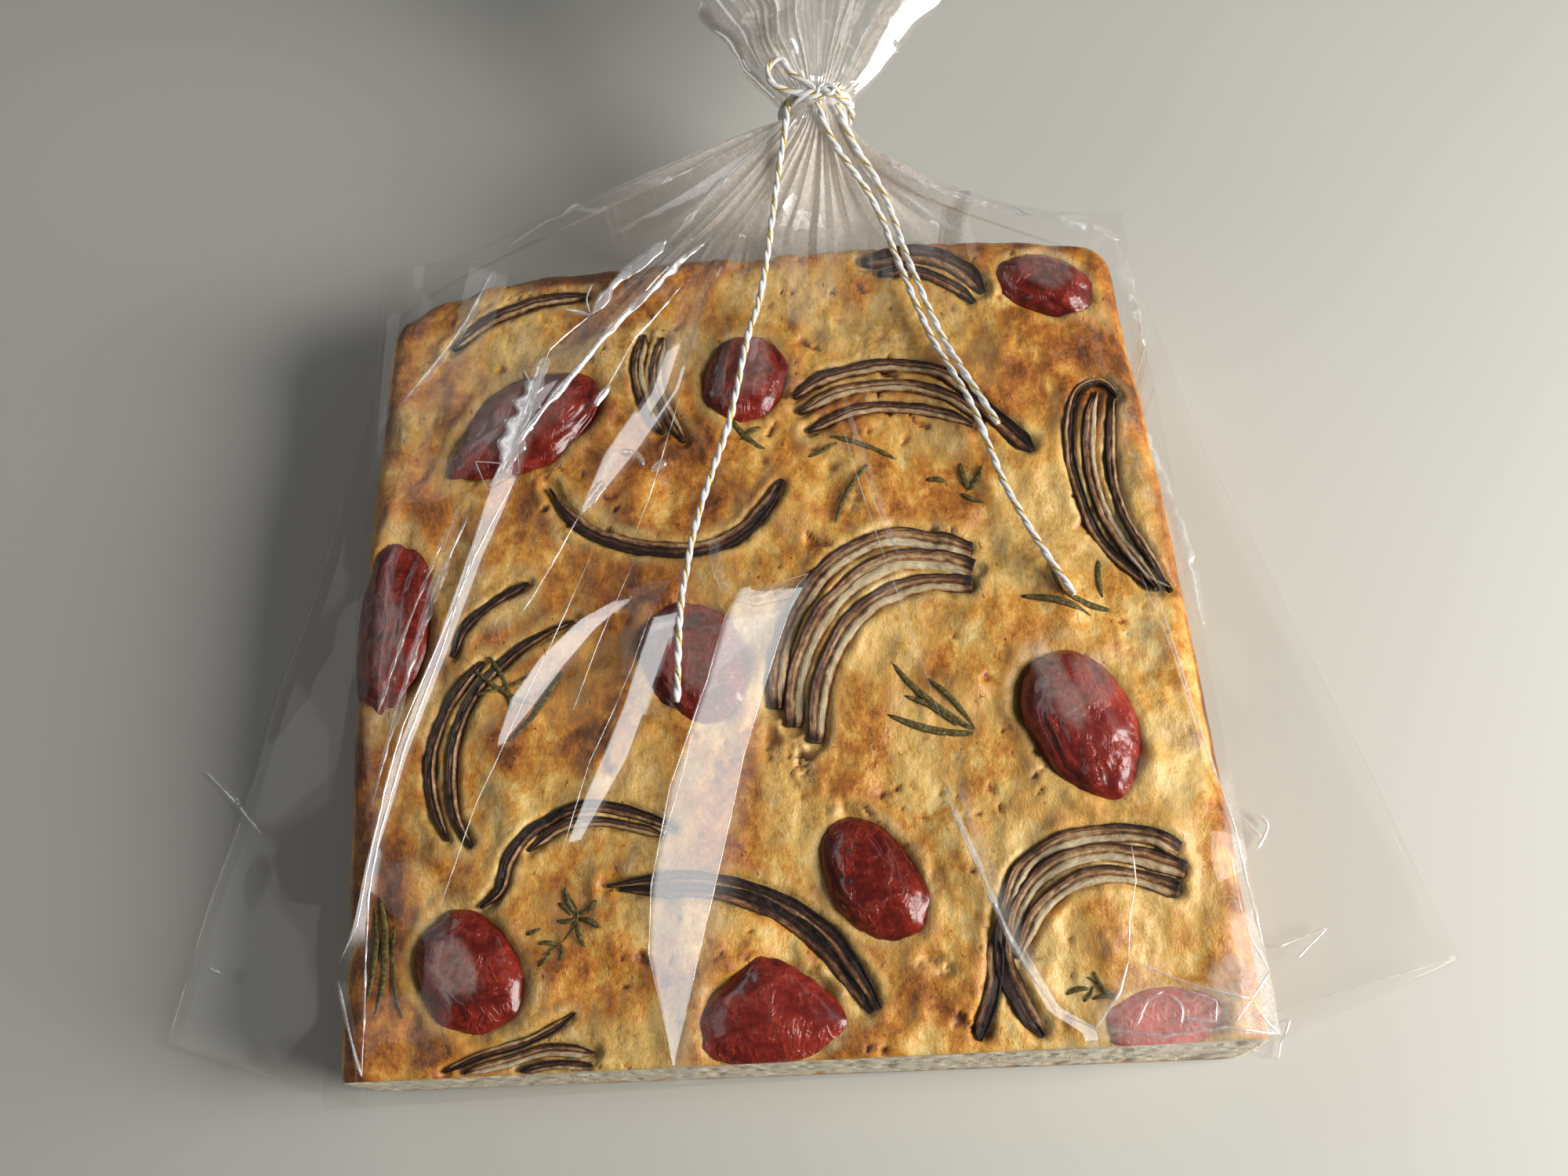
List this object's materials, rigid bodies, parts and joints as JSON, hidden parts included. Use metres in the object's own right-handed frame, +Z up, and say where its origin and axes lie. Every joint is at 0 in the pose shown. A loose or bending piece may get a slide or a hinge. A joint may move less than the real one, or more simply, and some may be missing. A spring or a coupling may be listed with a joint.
{
  "type": "bagged focaccia",
  "caption": "Square focaccia topped with tomatoes, onion and herbs, in a clear bag gathered at one end and tied with twine.",
  "frame": {"origin": "under the middle of the bag, on the surface it lies on", "axes": "+X to the loaf's right, +Y from the cut side towards the tied end, +Z up"},
  "size_m": [0.326, 0.33, 0.0968],
  "materials": {
    "film": "clear, thin and glossy",
    "twine": "twisted cotton, matt",
    "crust": "baked, golden to brown",
    "tomato": "wrinkled, wet",
    "onion": "charred skin, satin",
    "herb": "dry leaf"
  },
  "bodies": {
    "root": {"bag": "film", "twine_tie": "twine", "twine_left": "twine", "twine_long": "twine", "twine_short": "twine"}
  },
  "joints": []
}
